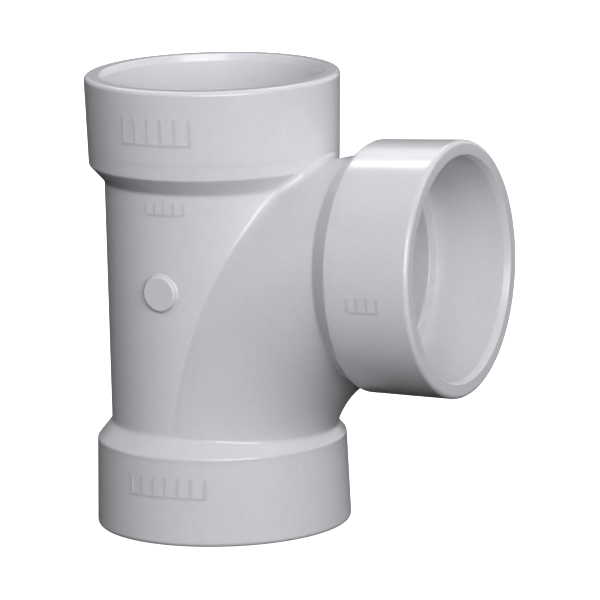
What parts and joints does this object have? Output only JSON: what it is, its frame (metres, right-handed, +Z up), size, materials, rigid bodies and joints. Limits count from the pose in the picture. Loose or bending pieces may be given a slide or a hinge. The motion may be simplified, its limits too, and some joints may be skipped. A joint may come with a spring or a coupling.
{
  "type": "sanitary tee pipe fitting",
  "caption": "Sanitary tee for drain pipe: straight run with a hub at each end and a side branch that sweeps down into the run, all ends plain sockets for solvent cement.",
  "frame": {"origin": "on the run axis at the lower socket's stop, where the end of the lower pipe seats", "axes": "+Z up the run from the lower socket to the upper socket, flow falls towards -Z; +X is the side the branch leaves on, and the branch axis climbs 1.19 degrees (1/4 in per foot) from +X towards +Z; the gate pad faces -Y"},
  "size_m": [0.0877, 0.0558, 0.0998],
  "materials": {
    "pvc": "satin, injection moulded, light grey-white"
  },
  "bodies": {
    "root": {"upper_hub": "pvc", "upper_stop_shoulder": "pvc", "lower_hub": "pvc", "lower_stop_shoulder": "pvc", "run_barrel": "pvc", "branch_hub": "pvc", "branch_stop_shoulder": "pvc", "branch_sweep": "pvc", "gate_pad": "pvc", "upper_hub_mark": "pvc", "lower_hub_mark": "pvc", "barrel_mark": "pvc", "branch_hub_mark": "pvc"}
  },
  "joints": []
}
